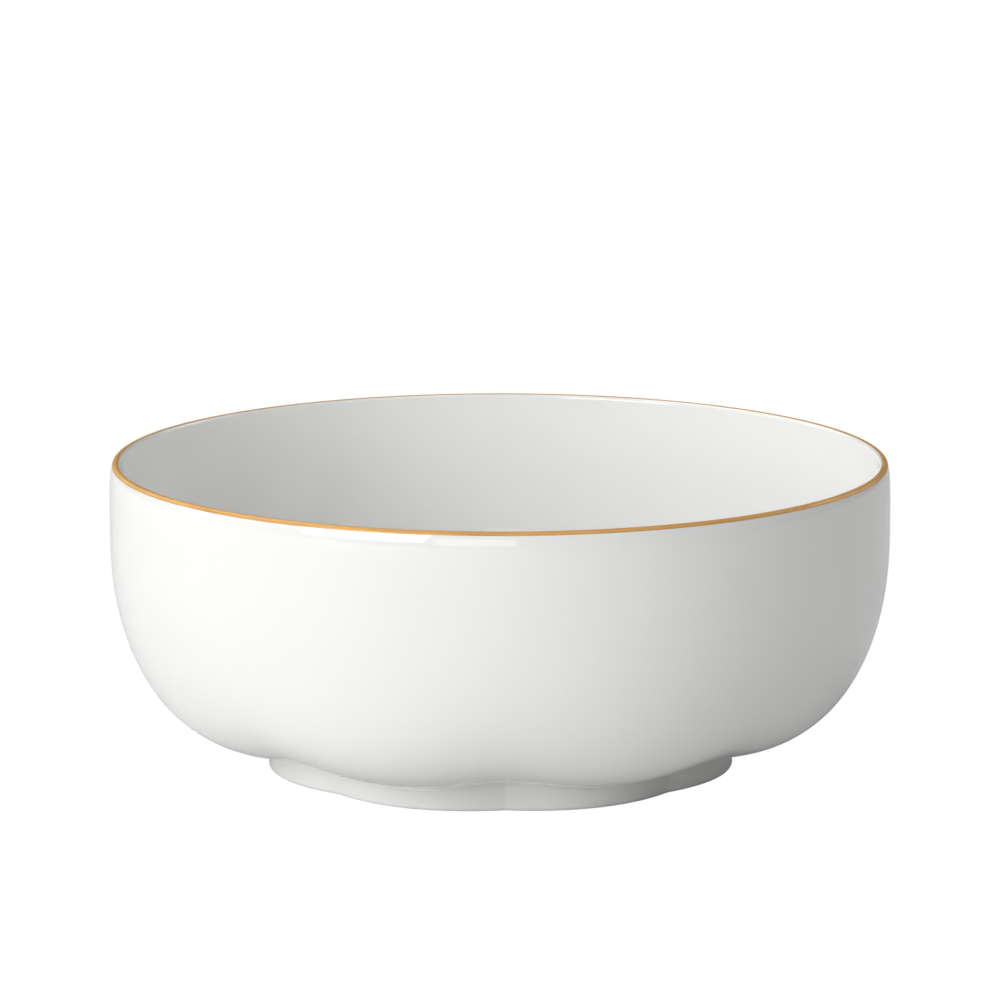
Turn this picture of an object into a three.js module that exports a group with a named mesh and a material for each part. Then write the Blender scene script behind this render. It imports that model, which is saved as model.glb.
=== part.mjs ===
// A round porcelain serving bowl with a gilt lip, on a foot ring of eight petals.
// Millimetres, +Z up. The origin is on the table, under the middle of the bowl.
// Angles run around the bowl from -Y towards +X, and a valley between two petals lies at angle 0.

import * as THREE from "three";

// Overall shape
const BOWL_HEIGHT = 94;
const RIM_RADIUS = 119.4; // outside of the lip
const BELLY_RADIUS = 120; // widest place of the wall
const BELLY_HEIGHT = 72;
const SHOULDER_LOW = 83; // heights that pull the wall upright before it rounds in to the lip
const SHOULDER_HIGH = 91;
const PETALS = 8;

// Lip
const LIP_THICKNESS = 2.5;
const GILT_THICKNESS = 0.3;
const GILT_START = 14; // degrees above level where the gilding starts outside
const GILT_REACH = 128; // degrees around the lip where it ends inside

// Lower wall: the pull of the curve at its upper and lower end
const BELLY_PULL = 60.5;
const UNDERSIDE_PULL = 12.6;
const UNDERSIDE_RISE = 3.4; // how far the underside climbs along its pull

// Petals: the valleys rise from the foot and fade out up the wall
const VALLEY_DEPTH = 0.8;
const VALLEY_LIFT = 3.2;
const VALLEY_TOP = 64;
const VALLEY_WIDTH = 2.4; // of the lift, where a higher power makes a narrower valley
const NECK_SOFTNESS = 0.02; // 0 makes a sharp notch between two petals
const VALLEY_SOFTNESS = 1.2; // how much softer the valleys get up to their top
const NECK_BLEND = 6; // height over which the wall takes on the outline of the foot

// Foot ring
const NECK_RADIUS = 73; // where a petal of the wall meets the foot
const NECK_HEIGHT = 6.5;
const FOOT_RADIUS = 73.9;
const FOOT_NOTCH = 2.9;
const FOOT_EDGE = 1.1; // round of the lower edge
const BEARING_WIDTH = 3;
const NECK_WIDTH = 6.6;
const INNER_NECK_HEIGHT = 8.6;
const INNER_NOTCH = 1.6;

// Inside of the bowl and the recess under it
const WALL_THICKNESS = 3.6;
const FLOOR_RADIUS = 64;
const FLOOR_HEIGHT = 15;
const INNER_BELLY_PULL = 44;
const FLOOR_PULL = 38;
const FLOOR_DISH = 0.5; // the middle of the floor lies lower by this
const RECESS_HEIGHT = 9.4;

// How finely the round shapes are cut
const SEGMENTS = 96;
const LIP_STEPS = 6;
const SIDE_STEPS = 5;
const WALL_STEPS = 14;
const FLOOR_STEPS = 4;
const EDGE_STEPS = 3;

const lipRadius = LIP_THICKNESS / 2;
const lipCentre = new THREE.Vector2(RIM_RADIUS - lipRadius, BOWL_HEIGHT - lipRadius);
const neck = new THREE.Vector2(NECK_RADIUS, NECK_HEIGHT);
const belly = new THREE.Vector2(BELLY_RADIUS, BELLY_HEIGHT);
const innerBelly = new THREE.Vector2(BELLY_RADIUS - WALL_THICKNESS, BELLY_HEIGHT);

// 1 along the valley between two petals, falling smoothly to 0 on the crest of each petal.
function valley(angle) {
  return Math.abs(Math.cos((PETALS * angle) / 2)) ** VALLEY_WIDTH;
}

// The same for petals that are arcs, which meet in a notch that the softness rounds.
function notch(angle, softness) {
  const deepest = Math.hypot(1, softness);
  return (deepest - Math.hypot(Math.sin((PETALS * angle) / 2), softness)) / (deepest - softness);
}

// A ring of points around the axis, where place(angle) gives the radius and height.
function ring(place) {
  const points = [];
  for (let i = 0; i < SEGMENTS; i++) {
    const angle = (2 * Math.PI * i) / SEGMENTS;
    const { x: radius, y: height } = place(angle);
    points.push(new THREE.Vector3(radius * Math.sin(angle), -radius * Math.cos(angle), height));
  }
  return points;
}

// A ring that is a plain circle through a point of a profile.
function circle(point) {
  return ring(() => point);
}

// The single point where a skin crosses the axis.
function pole(height) {
  return [new THREE.Vector3(0, 0, height)];
}

// The two triangles between two rings, cut along the shorter diagonal, or one beside a pole.
function between(lower, upper, i) {
  const j = (i + 1) % SEGMENTS;
  if (lower.length === 1) return [[lower[0], upper[j], upper[i]]];
  if (upper.length === 1) return [[lower[i], lower[j], upper[0]]];
  const [a, b, c, d] = [lower[i], lower[j], upper[j], upper[i]];
  return a.distanceTo(c) < b.distanceTo(d)
    ? [[a, b, c], [a, c, d]]
    : [[a, b, d], [b, c, d]];
}

// A skin over rings that run outwards below, up outside and down inside. One that doesn't start
// and end in a pole closes from its last ring to its first.
function skin(rings) {
  const corners = [];
  const bands = rings[0].length === 1 ? rings.length - 1 : rings.length;
  for (let band = 0; band < bands; band++) {
    const next = rings[(band + 1) % rings.length];
    for (let i = 0; i < SEGMENTS; i++) corners.push(...between(rings[band], next, i).flat());
  }
  const geometry = new THREE.BufferGeometry().setFromPoints(corners);
  geometry.computeVertexNormals();
  return geometry;
}

// The point of the outer wall that a profile point moves to at an angle, in a valley or on a petal.
function fluted(point, angle) {
  const rise = point.y - NECK_HEIGHT;
  const climb = THREE.MathUtils.clamp(rise / (VALLEY_TOP - NECK_HEIGHT), 0, 1);
  const fade = THREE.MathUtils.smoothstep(1 - climb, 0, 1);
  const atNeck = THREE.MathUtils.clamp(1 - rise / NECK_BLEND, 0, 1) ** 2;
  const depth = THREE.MathUtils.lerp(VALLEY_DEPTH, FOOT_NOTCH, atNeck);
  const inward = depth * notch(angle, NECK_SOFTNESS + VALLEY_SOFTNESS * climb);
  const lift = VALLEY_LIFT * valley(angle);
  return new THREE.Vector2(point.x - fade * inward, point.y + fade * lift);
}

// The crease where the wall meets the foot outside, and its counterpart inside.
const crease = ring((angle) => fluted(neck, angle));
const innerNeck = ring((angle) => {
  const radius = NECK_RADIUS - NECK_WIDTH - INNER_NOTCH * valley(angle);
  return new THREE.Vector2(radius, INNER_NECK_HEIGHT);
});

// Rings around the round lip, from one angle above level to another, at a radius of its section.
function lipRings(from, to, radius, steps) {
  const rings = [];
  for (let i = 0; i <= steps; i++) {
    const turn = THREE.MathUtils.degToRad(from + ((to - from) * i) / steps);
    const offset = new THREE.Vector2(Math.cos(turn), Math.sin(turn)).multiplyScalar(radius);
    rings.push(circle(lipCentre.clone().add(offset)));
  }
  return rings;
}

const giltOutside = lipRings(GILT_START, GILT_REACH, lipRadius, LIP_STEPS);
const giltSeat = lipRings(GILT_START, GILT_REACH, lipRadius - GILT_THICKNESS, LIP_STEPS);

// Outer wall from just above the crease up to the belly, with the valleys between the petals.
function lowerWall() {
  const curve = new THREE.CubicBezierCurve(
    neck,
    new THREE.Vector2(NECK_RADIUS + UNDERSIDE_PULL, NECK_HEIGHT + UNDERSIDE_RISE),
    new THREE.Vector2(BELLY_RADIUS, BELLY_HEIGHT - BELLY_PULL),
    belly,
  );
  const points = curve.getSpacedPoints(WALL_STEPS).slice(1);
  return points.map((point) => ring((angle) => fluted(point, angle)));
}

// Outer wall above the belly, rounding in to the gilding, whose edge ends it.
function upperWall() {
  const turn = THREE.MathUtils.degToRad(GILT_START);
  const offset = new THREE.Vector2(Math.cos(turn), Math.sin(turn)).multiplyScalar(lipRadius);
  const curve = new THREE.CubicBezierCurve(
    belly,
    new THREE.Vector2(BELLY_RADIUS, SHOULDER_LOW),
    new THREE.Vector2(BELLY_RADIUS, SHOULDER_HIGH),
    lipCentre.clone().add(offset),
  );
  return curve.getSpacedPoints(SIDE_STEPS).slice(1, -1).map(circle);
}

// Inside of the bowl, from the gilding down to the edge of the floor and in to the axis.
function inside() {
  const lipInside = lipCentre.clone().add(new THREE.Vector2(-lipRadius, -lipRadius));
  const side = new THREE.QuadraticBezierCurve(
    lipInside,
    new THREE.Vector2(innerBelly.x, (BELLY_HEIGHT + BOWL_HEIGHT) / 2),
    innerBelly,
  );
  const corner = new THREE.CubicBezierCurve(
    innerBelly,
    new THREE.Vector2(innerBelly.x, BELLY_HEIGHT - INNER_BELLY_PULL),
    new THREE.Vector2(FLOOR_RADIUS + FLOOR_PULL, FLOOR_HEIGHT),
    new THREE.Vector2(FLOOR_RADIUS, FLOOR_HEIGHT),
  );
  const profile = [...side.getSpacedPoints(SIDE_STEPS), ...corner.getSpacedPoints(WALL_STEPS).slice(1)];
  const rings = profile.map(circle);
  for (let i = 1; i < FLOOR_STEPS; i++) {
    const share = i / FLOOR_STEPS;
    rings.push(circle(new THREE.Vector2(FLOOR_RADIUS * (1 - share), FLOOR_HEIGHT - FLOOR_DISH * share ** 2)));
  }
  rings.push(pole(FLOOR_HEIGHT - FLOOR_DISH));
  return rings;
}

// Underside of the bowl within the foot, from the axis out to the foot.
function recess() {
  const rings = [pole(RECESS_HEIGHT)];
  for (let i = 1; i < FLOOR_STEPS; i++) {
    const radius = ((NECK_RADIUS - NECK_WIDTH) * i) / FLOOR_STEPS;
    rings.push(circle(new THREE.Vector2(radius, RECESS_HEIGHT)));
  }
  return rings;
}

function bowlBody() {
  return skin([
    ...recess(),
    innerNeck,
    crease,
    ...lowerWall(),
    ...upperWall(),
    giltOutside[0],
    ...giltSeat,
    giltOutside[LIP_STEPS],
    ...inside(),
  ]);
}

// The gilding on the lip: its outside face, then its seat on the porcelain backwards.
function giltRim() {
  return skin([...giltOutside, ...giltSeat.toReversed()]);
}

// A ring of the foot's outer or inner face, standing in from the outline by a distance.
function footRing(inset, height, depth) {
  return ring((angle) => {
    return new THREE.Vector2(FOOT_RADIUS - depth * notch(angle, NECK_SOFTNESS) - inset, height);
  });
}

function footRings() {
  const rings = [];
  const innerInset = BEARING_WIDTH + 2 * FOOT_EDGE;
  for (let i = 0; i <= EDGE_STEPS; i++) {
    const turn = (Math.PI / 2) * (i / EDGE_STEPS);
    const inset = FOOT_EDGE * (1 - Math.sin(turn));
    rings.push(footRing(inset, FOOT_EDGE * (1 - Math.cos(turn)), FOOT_NOTCH));
  }
  for (let i = 0; i <= EDGE_STEPS; i++) {
    const turn = (Math.PI / 2) * (1 - i / EDGE_STEPS);
    const inset = innerInset - FOOT_EDGE * (1 - Math.sin(turn));
    rings.push(footRing(inset, FOOT_EDGE * (1 - Math.cos(turn)), INNER_NOTCH));
  }
  return rings;
}

function footRingBody() {
  const rings = footRings();
  const outer = rings.slice(0, EDGE_STEPS + 1);
  const inner = rings.slice(EDGE_STEPS + 1);
  return skin([...outer, crease, innerNeck, ...inner]);
}

// A named mesh with its material.
function piece(name, geometry, material) {
  const mesh = new THREE.Mesh(geometry, new THREE.MeshStandardMaterial(material));
  mesh.name = name;
  return mesh;
}

const GLAZED_PORCELAIN = { color: 0xf3f3f0, roughness: 0.12, metalness: 0 };
const GOLD = { color: 0xc98a2e, roughness: 0.25, metalness: 1 };

const bowl = new THREE.Group();
bowl.add(piece("bowl_body", bowlBody(), GLAZED_PORCELAIN));
bowl.add(piece("foot_ring", footRingBody(), GLAZED_PORCELAIN));
bowl.add(piece("gilt_rim", giltRim(), GOLD));

export default bowl;
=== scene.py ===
"""A porcelain serving bowl with a gilt lip on a petalled foot, in a plain studio.

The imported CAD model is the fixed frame. Each of its three nodes is replaced by a fine mesh of
nearly the same shape, within half a millimetre: the body, the foot and the gold line.
Lengths are in metres. Angles run around the bowl from -Y towards +X. A profile is a list of
points of radius and height, and a ring is one such point for each segment around the bowl.
"""

import math

import bmesh
import bpy
import numpy as np
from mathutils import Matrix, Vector


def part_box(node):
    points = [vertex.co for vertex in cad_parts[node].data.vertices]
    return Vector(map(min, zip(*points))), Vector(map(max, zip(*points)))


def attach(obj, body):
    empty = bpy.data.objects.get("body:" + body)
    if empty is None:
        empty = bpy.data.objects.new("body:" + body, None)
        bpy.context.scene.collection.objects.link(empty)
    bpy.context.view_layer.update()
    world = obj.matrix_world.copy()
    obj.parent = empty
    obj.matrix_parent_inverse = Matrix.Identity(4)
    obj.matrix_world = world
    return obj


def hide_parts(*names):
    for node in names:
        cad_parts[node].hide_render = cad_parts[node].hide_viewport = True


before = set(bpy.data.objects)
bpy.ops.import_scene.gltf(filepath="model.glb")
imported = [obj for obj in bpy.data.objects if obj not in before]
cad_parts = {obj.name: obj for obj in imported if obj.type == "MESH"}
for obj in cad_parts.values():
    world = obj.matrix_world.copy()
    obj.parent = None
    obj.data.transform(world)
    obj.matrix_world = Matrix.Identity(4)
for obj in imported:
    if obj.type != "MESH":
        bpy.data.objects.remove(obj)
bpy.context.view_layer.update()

MM = 0.001

# Overall sizes, from the frame
BELLY_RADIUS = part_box("bowl_body")[1].x
BOWL_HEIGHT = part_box("gilt_rim")[1].z
PETALS = 8

# Lip and gilding. Turns around the lip's section run from straight out, over the top, inwards.
LIP_INSET = 0.9 * MM  # how far the wall draws in from the belly to the lip
RIM_RADIUS = BELLY_RADIUS - LIP_INSET
LIP_RADIUS = 1.25 * MM  # of its round section
GILT_FILM = 0.03 * MM
GILT_START = math.radians(10)
GILT_REACH = math.radians(120)
GILT_WAVER = math.radians(3)  # how far the hand-drawn edges stray
GILT_WAVES = (
    # waves in a full turn, phase in radians, share of the whole
    (3, 0.4, 0.30),
    (7, 2.1, 0.25),
    (16, 4.0, 0.20),
    (37, 1.2, 0.15),
    (61, 5.2, 0.10),
)

# Outer wall. The pulls and heights place the control points of its two curves.
BELLY_HEIGHT = 72 * MM
SHOULDER_LOW = 83 * MM
SHOULDER_HIGH = 91 * MM
BELLY_PULL = 61.2 * MM  # down from the belly
UNDERSIDE_PULL = 13.2 * MM  # out from the neck
UNDERSIDE_RISE = 3.4 * MM  # up from the neck

# Petals. Between them the wall is pushed in and lifted, less and less towards the valleys' top.
VALLEY_DEPTH = 0.8 * MM
VALLEY_LIFT = 2.7 * MM
VALLEY_TOP = 64 * MM
VALLEY_SHARPNESS = 2.4  # a power: the higher, the narrower the lifted stretch
NECK_SOFTNESS = 0.02  # how much a notch is rounded at the neck
VALLEY_SOFTNESS = 1.2  # how much more it is rounded at the valleys' top
NECK_BLEND = 6 * MM  # over this height the deep notch of the neck turns into a shallow valley

# Foot ring. The neck is the crease where it meets the body.
NECK_RADIUS = 73 * MM
NECK_HEIGHT = 6.5 * MM
FOOT_RADIUS = 73.65 * MM
FOOT_NOTCH = 2.9 * MM
FOOT_EDGE = 1.1 * MM  # radius of the rounds beside the bearing face
BEARING_WIDTH = 3 * MM
NECK_WIDTH = 6.6 * MM
INNER_NECK_HEIGHT = 8.6 * MM
INNER_NOTCH = 1.6 * MM
NECK_OVERLAP = 0.5 * MM  # how far the foot reaches up into the body
BEAD_RADIUS = 2.2 * MM  # round of the glaze along the top of the foot
BEAD_TURN = math.radians(24)

# Inside and recess
WALL_THICKNESS = 3.6 * MM
FLOOR_RADIUS = 64 * MM
FLOOR_HEIGHT = 15 * MM
FLOOR_DISH = 0.5 * MM
INNER_BELLY_PULL = 44 * MM  # down from the inner belly
FLOOR_PULL = 38 * MM  # out from the floor's edge
RECESS_HEIGHT = 9.4 * MM
RECESS_FILLET = 3 * MM

# Fineness of the meshes: segments around the bowl, and steps along the profiles
BODY_SEGMENTS = 512
FOOT_SEGMENTS = 1024
GILT_SEGMENTS = 1024
LOWER_WALL_STEPS = 100
UPPER_WALL_STEPS = 28
LIP_STEPS = 18
INNER_SIDE_STEPS = 12
INNER_CORNER_STEPS = 44
FLOOR_STEPS = 11
RECESS_STEPS = 8
FILLET_STEPS = 6
EDGE_STEPS = 8
FLARE_STEPS = 13
BEAD_STEPS = 10
INNER_FOOT_STEPS = 7
GILT_STEPS = 18
CURVE_SAMPLES = 2000  # for measuring the length of a curve

# Camera
VIEW_DISTANCE = 1.540
VIEW_ELEVATION = 0.189
VIEW_TURN = 0.0205  # the camera stands this far round from -Y towards -X
VIEW_HEIGHT = 79.2 * MM
VIEW_LENS = 178.1
SENSOR_WIDTH = 36


# ---------------------------------------------------------------- shape

def valley(angle):
    """1 along the valley between two petals, falling smoothly to 0 on the crest of each."""
    return np.abs(np.cos(PETALS * angle / 2)) ** VALLEY_SHARPNESS


def notch(angle, softness=NECK_SOFTNESS):
    """The same for petals that are arcs and meet in a notch, which the softness rounds."""
    deepest = np.hypot(1, softness)
    return (deepest - np.hypot(np.sin(PETALS * angle / 2), softness)) / (deepest - softness)


def bezier(points, steps):
    """steps + 1 points along a Bezier curve of any degree, spaced evenly by length."""
    points = np.array(points, float)
    degree = len(points) - 1
    fine = np.linspace(0, 1, CURVE_SAMPLES + 1)[:, None]
    curve = sum(
        math.comb(degree, k) * fine**k * (1 - fine) ** (degree - k) * points[k]
        for k in range(degree + 1)
    )
    length = np.concatenate([[0], np.cumsum(np.linalg.norm(np.diff(curve, axis=0), axis=1))])
    even = np.linspace(0, length[-1], steps + 1)
    return np.stack([np.interp(even, length, curve[:, k]) for k in (0, 1)], axis=1)


def arc(centre, radius, start, end, steps):
    """Points on an arc of a profile."""
    turn = np.linspace(start, end, steps + 1)
    return np.stack([centre[0] + radius * np.cos(turn), centre[1] + radius * np.sin(turn)], axis=1)


def angles(segments):
    """The angle of each segment around the bowl."""
    return np.arange(segments) * (2 * math.pi / segments)


def circles(profile, segments):
    """Radius and height of plain rings, one for each point of a profile."""
    profile = np.asarray(profile, float)
    return np.repeat(profile[:, None, :], segments, axis=1)


def fluted(profile, segments):
    """Radius and height of the rings of the outer wall, which the petals push in and out."""
    angle = angles(segments)[None, :]
    radius = profile[:, 0][:, None]
    height = profile[:, 1][:, None]
    rise = height - NECK_HEIGHT
    climb = np.clip(rise / (VALLEY_TOP - NECK_HEIGHT), 0, 1)
    fade = (1 - climb) ** 2 * (1 + 2 * climb)
    at_neck = np.clip(1 - rise / NECK_BLEND, 0, 1) ** 2
    depth = VALLEY_DEPTH + (FOOT_NOTCH - VALLEY_DEPTH) * at_neck
    inward = depth * notch(angle, NECK_SOFTNESS + VALLEY_SOFTNESS * climb)
    lift = VALLEY_LIFT * valley(angle)
    return np.stack([radius - fade * inward, height + fade * lift], axis=2)


def band_faces(count, segments, on_axis):
    """The faces of a mesh over rings, and beside each the number of the band that it is in."""
    first = np.arange(segments)
    after = (first + 1) % segments
    faces = []
    bands = []
    for band in range(1, count - 2) if on_axis else range(count):
        here = band * segments
        there = ((band + 1) % count) * segments
        corners = [here + first, here + after, there + after, there + first]
        faces += np.stack(corners, axis=1).tolist()
        bands += [band] * segments
    if on_axis:
        last = (count - 2) * segments
        top = (count - 1) * segments
        pairs = list(zip(first.tolist(), after.tolist()))
        faces += [[0, segments + b, segments + a] for a, b in pairs]
        faces += [[last + a, last + b, top] for a, b in pairs]
        bands += [0] * segments + [count - 2] * segments
    return faces, bands


def solid(name, rings, materials, material_of=None):
    """A mesh over rings of radius and height, running outwards below, up outside, down inside.

    A first and last ring of no radius close on the axis. Otherwise the last joins the first.
    """
    rings = np.asarray(rings)
    count, segments = rings.shape[:2]
    angle = angles(segments)[None, :]
    across = rings[:, :, 0]
    points = np.stack([across * np.sin(angle), -across * np.cos(angle), rings[:, :, 1]], axis=2)
    faces, bands = band_faces(count, segments, on_axis=np.isclose(across[0, 0], 0))
    mesh = bpy.data.meshes.new(name)
    mesh.from_pydata(points.reshape(-1, 3).tolist(), [], faces)
    for material in materials:
        mesh.materials.append(material)
    if material_of is not None:
        mesh.polygons.foreach_set("material_index", [material_of(band) for band in bands])
    mesh.polygons.foreach_set("use_smooth", [True] * len(mesh.polygons))
    remove_loose_points(mesh)
    return place_mesh(name, mesh)


def place_mesh(name, mesh):
    """Puts a mesh into the scene as an object."""
    made = bpy.data.objects.new(name, mesh)
    bpy.context.scene.collection.objects.link(made)
    return made


def remove_loose_points(mesh):
    """Drops the spare points of rings that close on the axis."""
    grid = bmesh.new()
    grid.from_mesh(mesh)
    loose = [point for point in grid.verts if not point.link_faces]
    bmesh.ops.delete(grid, geom=loose, context="VERTS")
    grid.to_mesh(mesh)
    grid.free()


# ---------------------------------------------------------------- pieces

LIP_CENTRE = (RIM_RADIUS - LIP_RADIUS, BOWL_HEIGHT - LIP_RADIUS)
BELLY = (BELLY_RADIUS, BELLY_HEIGHT)
INNER_BELLY = (BELLY_RADIUS - WALL_THICKNESS, BELLY_HEIGHT)


def outer_wall():
    """Profile of the outer wall from the foot to the belly, and from there to the gilding."""
    lower = bezier(
        [
            (NECK_RADIUS, NECK_HEIGHT),
            (NECK_RADIUS + UNDERSIDE_PULL, NECK_HEIGHT + UNDERSIDE_RISE),
            (BELLY_RADIUS, BELLY_HEIGHT - BELLY_PULL),
            BELLY,
        ],
        LOWER_WALL_STEPS,
    )
    lip_start = arc(LIP_CENTRE, LIP_RADIUS, GILT_START, GILT_START, 1)[0]
    upper = bezier(
        [BELLY, (BELLY_RADIUS, SHOULDER_LOW), (BELLY_RADIUS, SHOULDER_HIGH), lip_start],
        UPPER_WALL_STEPS,
    )
    return lower, upper


def inner_wall():
    """Profile of the inside from the lip down to the edge of the floor, and in to the axis."""
    side = bezier(
        [
            (RIM_RADIUS - 2 * LIP_RADIUS, LIP_CENTRE[1]),
            (INNER_BELLY[0], (BELLY_HEIGHT + BOWL_HEIGHT) / 2),
            INNER_BELLY,
        ],
        INNER_SIDE_STEPS,
    )
    corner = bezier(
        [
            INNER_BELLY,
            (INNER_BELLY[0], BELLY_HEIGHT - INNER_BELLY_PULL),
            (FLOOR_RADIUS + FLOOR_PULL, FLOOR_HEIGHT),
            (FLOOR_RADIUS, FLOOR_HEIGHT),
        ],
        INNER_CORNER_STEPS,
    )
    floor = [
        (FLOOR_RADIUS * (1 - share), FLOOR_HEIGHT - FLOOR_DISH * share**2)
        for share in np.linspace(0, 1, FLOOR_STEPS + 1)[1:]
    ]
    return np.concatenate([side[1:], corner[1:], floor])


def recess_profile():
    """The underside within the foot, from the axis out, with a round corner at its edge."""
    edge = NECK_RADIUS - NECK_WIDTH
    shares = np.linspace(0, 1, RECESS_STEPS + 1)
    flat = [((edge - RECESS_FILLET) * share, RECESS_HEIGHT) for share in shares]
    fillet = bezier(
        [flat[-1], (edge - RECESS_FILLET / 3, RECESS_HEIGHT), (edge, INNER_NECK_HEIGHT)],
        FILLET_STEPS,
    )
    return np.concatenate([flat, fillet[1:]])


def make_body(glaze):
    """The bowl itself, from the middle of the recess over the lip to the middle of the floor."""
    lower, upper = outer_wall()
    lip = arc(LIP_CENTRE, LIP_RADIUS, GILT_START, math.pi, LIP_STEPS)
    rings = np.concatenate(
        [
            circles(recess_profile(), BODY_SEGMENTS),
            fluted(lower, BODY_SEGMENTS),
            circles(upper[1:], BODY_SEGMENTS),
            circles(lip[1:], BODY_SEGMENTS),
            circles(inner_wall(), BODY_SEGMENTS),
        ]
    )
    return solid("porcelain_body", rings, [glaze])


def edge_arc():
    """Inset and height along the foot's rounded lower edge, from the table up."""
    turns = np.linspace(0, math.pi / 2, EDGE_STEPS + 1)
    return [(FOOT_EDGE * (1 - math.sin(turn)), FOOT_EDGE * (1 - math.cos(turn))) for turn in turns]


def bead_arc():
    """Inset and drop below the crease along the round top of the foot, from below."""
    for turn in np.linspace(0, BEAD_TURN, BEAD_STEPS + 1):
        inset = BEAD_RADIUS * (1 - math.cos(turn))
        yield inset, BEAD_RADIUS * (math.sin(BEAD_TURN) - math.sin(turn))


def foot_material(band):
    """Only the bearing face, which is the foot's first band, is left bare."""
    return 1 if band == 0 else 0


def make_foot(glaze, bare):
    """The foot ring: a bare bearing face, round edges, a flared wall and a round glazed top."""
    angle = angles(FOOT_SEGMENTS)
    neck, top = fluted(np.array([[NECK_RADIUS, NECK_HEIGHT]]), FOOT_SEGMENTS)[0].T
    outline = FOOT_RADIUS - FOOT_NOTCH * notch(angle)
    inner = FOOT_RADIUS - BEARING_WIDTH - 2 * FOOT_EDGE - INNER_NOTCH * notch(angle)
    proud = neck + BEAD_RADIUS * (1 - math.cos(BEAD_TURN))
    bead_base = top - BEAD_RADIUS * math.sin(BEAD_TURN)
    rings = [(inner + FOOT_EDGE, 0), (outline - FOOT_EDGE, 0)]
    rings += [(outline - inset, height) for inset, height in edge_arc()[1:]]
    for share in np.linspace(0, 1, FLARE_STEPS + 1)[1:-1]:
        height = FOOT_EDGE + (bead_base - FOOT_EDGE) * share
        rings.append((proud + (outline - proud) * (1 - share), height))
    rings += [(proud - inset, top - drop) for inset, drop in bead_arc()]
    rings.append((neck - NECK_OVERLAP, top + NECK_OVERLAP))
    inner_top = INNER_NECK_HEIGHT + NECK_OVERLAP
    rings += [(inner, height) for height in np.linspace(inner_top, FOOT_EDGE, INNER_FOOT_STEPS + 1)]
    rings += [(inner + inset, height) for inset, height in edge_arc()[-2:0:-1]]
    full = [np.stack(np.broadcast_arrays(*ring, angle)[:2], axis=1) for ring in rings]
    return solid("porcelain_foot", full, [glaze, bare], foot_material)


def make_gilding(gold):
    """A thin film over the lip, whose outer and inner edges waver a little as drawn by hand."""
    angle = angles(GILT_SEGMENTS)
    waver = sum(share * np.sin(waves * angle + phase) for waves, phase, share in GILT_WAVES)
    start = GILT_START + GILT_WAVER * waver
    end = GILT_REACH + GILT_WAVER * np.roll(waver, GILT_SEGMENTS // 3)

    def gilt_ring(share, radius):
        turn = start + (end - start) * share
        across = LIP_CENTRE[0] + radius * np.cos(turn)
        return np.stack([across, LIP_CENTRE[1] + radius * np.sin(turn)], axis=1)

    shares = np.linspace(0, 1, GILT_STEPS + 1)
    rings = []
    for share in shares:
        film = GILT_FILM * min(1, min(share, 1 - share) * GILT_STEPS)
        rings.append(gilt_ring(share, LIP_RADIUS + film))
    rings += [gilt_ring(share, LIP_RADIUS - GILT_FILM) for share in shares[-2:0:-1]]
    return solid("gilt_line", rings, [gold])


# ---------------------------------------------------------------- materials

NOISE_LOW = 0.3  # a noise's values lie mostly between these two
NOISE_HIGH = 0.7
STREAK_LENGTH = 14  # of the gold's brush streaks, against their height


def new_material(name):
    """A new material, its node tree and its shader."""
    material = bpy.data.materials.new(name)
    material.use_nodes = True
    tree = material.node_tree
    return material, tree, tree.nodes["Principled BSDF"]


def add_node(tree, kind, **sockets):
    """A node whose sockets are set by name, with _ for a space."""
    node = tree.nodes.new(kind)
    for name, value in sockets.items():
        node.inputs[name.replace("_", " ")].default_value = value
    return node


def add_noise(tree, place, **sockets):
    """A noise over the surface."""
    node = add_node(tree, "ShaderNodeTexNoise", **sockets)
    tree.links.new(place, node.inputs["Vector"])
    return node.outputs["Fac"]


def add_ramp(tree, factor, *stops):
    """A colour ramp with a stop for each pair of position and colour."""
    node = tree.nodes.new("ShaderNodeValToRGB")
    elements = node.color_ramp.elements
    while len(elements) < len(stops):
        elements.new(0.5)
    for element, (position, colour) in zip(elements, stops):
        element.position = position
        element.color = (*colour, 1)
    tree.links.new(factor, node.inputs["Fac"])
    return node.outputs["Color"]


def add_range(tree, noise, low, high):
    """Maps a noise to a range."""
    node = add_node(
        tree, "ShaderNodeMapRange", From_Min=NOISE_LOW, From_Max=NOISE_HIGH, To_Min=low, To_Max=high
    )
    tree.links.new(noise, node.inputs["Value"])
    return node.outputs["Result"]


def add_bump(tree, shader, height, strength, distance, before=None):
    """Bumps the shader's surface, on top of an earlier bump where there is one."""
    node = add_node(tree, "ShaderNodeBump", Strength=strength, Distance=distance)
    tree.links.new(height, node.inputs["Height"])
    if before is not None:
        tree.links.new(before, node.inputs["Normal"])
    tree.links.new(node.outputs["Normal"], shader.inputs["Normal"])
    return node.outputs["Normal"]


def object_place(tree):
    """The place on the bowl, in metres."""
    return tree.nodes.new("ShaderNodeTexCoord").outputs["Object"]


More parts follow.
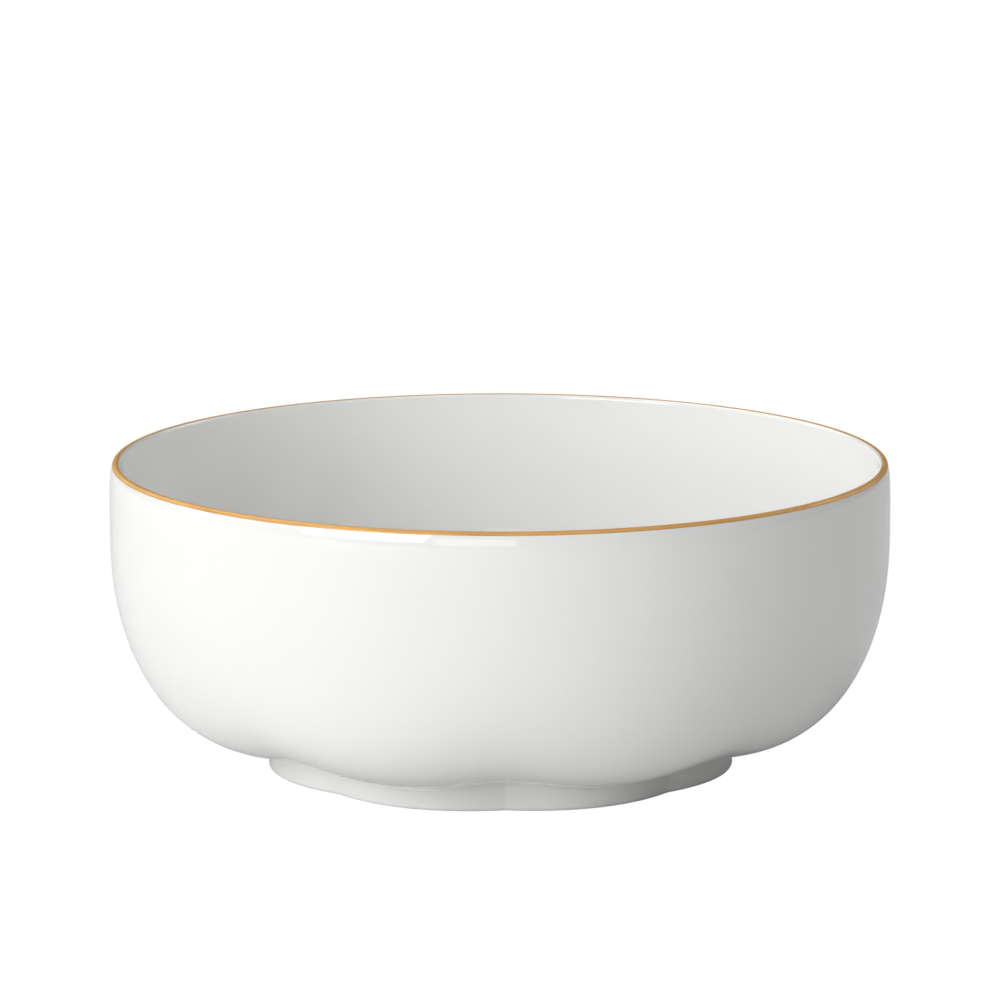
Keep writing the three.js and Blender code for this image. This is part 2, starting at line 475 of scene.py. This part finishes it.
def glaze_material():
    """White porcelain under a clear glaze, whose colour, gloss and surface are a little uneven."""
    material, tree, shader = new_material("white_glaze")
    place = object_place(tree)
    clouds = add_noise(tree, place, Scale=14.0, Detail=3.0)
    tint = add_ramp(tree, clouds, (0.35, (0.856, 0.859, 0.843)), (0.65, (0.872, 0.874, 0.858)))
    tree.links.new(tint, shader.inputs["Base Color"])
    film = add_noise(tree, place, Scale=45.0, Detail=2.0)
    tree.links.new(add_range(tree, film, 0.05, 0.09), shader.inputs["Roughness"])
    swell = add_noise(tree, place, Scale=70.0, Detail=1.0)
    peel = add_noise(tree, place, Scale=420.0, Detail=1.0)
    normal = add_bump(tree, shader, swell, 0.06, 0.1 * MM)
    add_bump(tree, shader, peel, 0.03, 0.02 * MM, normal)
    shader.inputs["IOR"].default_value = 1.54
    return material


def bare_material():
    """Unglazed, sanded porcelain of the bearing face."""
    material, tree, shader = new_material("bare_porcelain")
    place = object_place(tree)
    grain = add_noise(tree, place, Scale=1400.0, Detail=4.0)
    tint = add_ramp(tree, grain, (0.3, (0.70, 0.68, 0.63)), (0.7, (0.83, 0.82, 0.78)))
    tree.links.new(tint, shader.inputs["Base Color"])
    tree.links.new(add_range(tree, grain, 0.65, 0.85), shader.inputs["Roughness"])
    add_bump(tree, shader, grain, 0.5, 0.1 * MM)
    return material


def gold_material():
    """Soft gold fired onto the lip, with fine streaks along it from the brush."""
    material, tree, shader = new_material("gold_lustre")
    flattened = add_node(tree, "ShaderNodeMapping", Scale=(1, 1, STREAK_LENGTH))
    tree.links.new(object_place(tree), flattened.inputs["Vector"])
    streaks = add_noise(tree, flattened.outputs["Vector"], Scale=60.0, Detail=4.0)
    tint = add_ramp(
        tree,
        streaks,
        (0.30, (0.62, 0.31, 0.072)),
        (0.50, (0.71, 0.38, 0.105)),
        (0.72, (0.78, 0.45, 0.14)),
    )
    tree.links.new(tint, shader.inputs["Base Color"])
    tree.links.new(add_range(tree, streaks, 0.50, 0.42), shader.inputs["Roughness"])
    add_bump(tree, shader, streaks, 0.15, 0.03 * MM)
    shader.inputs["Metallic"].default_value = 0.2
    return material


# ---------------------------------------------------------------- studio

WHITE = (1, 1, 1, 1)
AIM = Vector((0, 0, 50 * MM))  # the place on the axis that every light faces
LIGHT_DISTANCE = 2.0
SKY = 0.138  # how bright the surroundings are to the bowl, which the camera sees as white
SEEN_FLOOR_RADIUS = 12.0
SEEN_FLOOR_HEIGHT = -0.2 * MM
BOUNCE_FLOOR_RADIUS = 4.0
BOUNCE_FLOOR_HEIGHT = -0.1 * MM
FLOOR_SIDES = 96

LIGHTS = (
    # name, azimuth and elevation in degrees, width, height, power
    ("key", -40, 17.5, 1.3, 1.0, 22.0),
    ("key_high", -38, 46, 0.8, 0.5, 2.5),
    ("front_low", -8, 8, 0.8, 0.5, 2.6),
    ("left_low", -95, 10, 0.7, 0.5, 2.2),
    ("right_high", 40, 58, 1.0, 0.9, 3.6),
    ("left_high", -120, 58, 1.0, 0.9, 9.0),
    ("top", 0, 89, 1.2, 1.2, 4.0),
    ("right_back", 120, 25, 0.9, 1.0, 7.0),
    ("left_back", -128, 28, 1.2, 0.9, 7.0),
)


def direction(azimuth, elevation):
    """Unit vector from the bowl towards a place, in degrees round from the camera's side."""
    a = math.radians(azimuth)
    e = math.radians(elevation)
    return Vector((math.sin(a) * math.cos(e), -math.cos(a) * math.cos(e), math.sin(e)))


def add_light(name, azimuth, elevation, width, height, power):
    """A rectangular light that faces the bowl."""
    data = bpy.data.lights.new(name, "AREA")
    data.shape = "RECTANGLE"
    data.size = width
    data.size_y = height
    data.energy = power
    light = bpy.data.objects.new(name, data)
    towards = direction(azimuth, elevation)
    light.location = AIM + towards * LIGHT_DISTANCE
    light.rotation_euler = towards.to_track_quat("Z", "Y").to_euler()
    bpy.context.scene.collection.objects.link(light)


def white_emitter(name):
    """A material that gives off plain white."""
    material = bpy.data.materials.new(name)
    material.use_nodes = True
    tree = material.node_tree
    tree.nodes.clear()
    glow = add_node(tree, "ShaderNodeEmission", Color=WHITE, Strength=1.0)
    end = add_node(tree, "ShaderNodeOutputMaterial")
    tree.links.new(glow.outputs["Emission"], end.inputs["Surface"])
    return material


def disc(name, radius, height, material):
    """A flat disc of the stage, facing up."""
    points = [(radius * math.cos(a), radius * math.sin(a), height) for a in angles(FLOOR_SIDES)]
    mesh = bpy.data.meshes.new(name)
    mesh.from_pydata(points, [], [list(range(len(points)))])
    mesh.materials.append(material)
    made = place_mesh(name, mesh)
    return made


def make_floor():
    """A pale floor that the camera sees as plain white, over one that takes the bowl's shade."""
    white = white_emitter("floor_white")
    seen = disc("floor_seen", SEEN_FLOOR_RADIUS, SEEN_FLOOR_HEIGHT, white)
    seen.visible_diffuse = False
    seen.visible_glossy = False
    seen.visible_transmission = False
    seen.visible_shadow = False
    pale, _, shader = new_material("floor_pale")
    shader.inputs["Base Color"].default_value = (0.8, 0.8, 0.8, 1)
    shader.inputs["Roughness"].default_value = 0.9
    bounce = disc("floor_bounce", BOUNCE_FLOOR_RADIUS, BOUNCE_FLOOR_HEIGHT, pale)
    bounce.visible_camera = False


def make_world():
    """Soft even surroundings, which the camera sees as white."""
    world = bpy.data.worlds.new("studio")
    world.use_nodes = True
    tree = world.node_tree
    background = tree.nodes["Background"]
    background.inputs["Color"].default_value = WHITE
    path = tree.nodes.new("ShaderNodeLightPath")
    strength = add_node(tree, "ShaderNodeMapRange", To_Min=SKY, To_Max=1.0)
    tree.links.new(path.outputs["Is Camera Ray"], strength.inputs["Value"])
    tree.links.new(strength.outputs["Result"], background.inputs["Strength"])
    bpy.context.scene.world = world


def make_camera():
    """A long lens that looks at the bowl from slightly above."""
    data = bpy.data.cameras.new("camera")
    data.sensor_width = SENSOR_WIDTH
    data.lens = VIEW_LENS
    data.clip_end = 50
    camera = bpy.data.objects.new("camera", data)
    back = Vector((-math.sin(VIEW_TURN), -math.cos(VIEW_TURN), 0))
    sine = math.sin(VIEW_ELEVATION)
    cosine = math.cos(VIEW_ELEVATION)
    target = back * (-VIEW_HEIGHT * sine) + Vector((0, 0, VIEW_HEIGHT * cosine))
    towards = back * cosine + Vector((0, 0, sine))
    camera.location = target + towards * VIEW_DISTANCE
    camera.rotation_euler = towards.to_track_quat("Z", "Y").to_euler()
    bpy.context.scene.collection.objects.link(camera)
    bpy.context.scene.camera = camera


# ---------------------------------------------------------------- scene

def main():
    make_camera()
    make_world()
    for light in LIGHTS:
        add_light(*light)
    make_floor()
    glaze = glaze_material()
    pieces = (
        (make_body(glaze), "bowl_body", "porcelain"),
        (make_foot(glaze, bare_material()), "foot_ring", "porcelain"),
        (make_gilding(gold_material()), "gilt_rim", "gilding"),
    )
    for piece, node, slot in pieces:
        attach(piece, "root")
        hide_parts(node)
    bpy.context.scene.view_settings.view_transform = "Standard"


main()
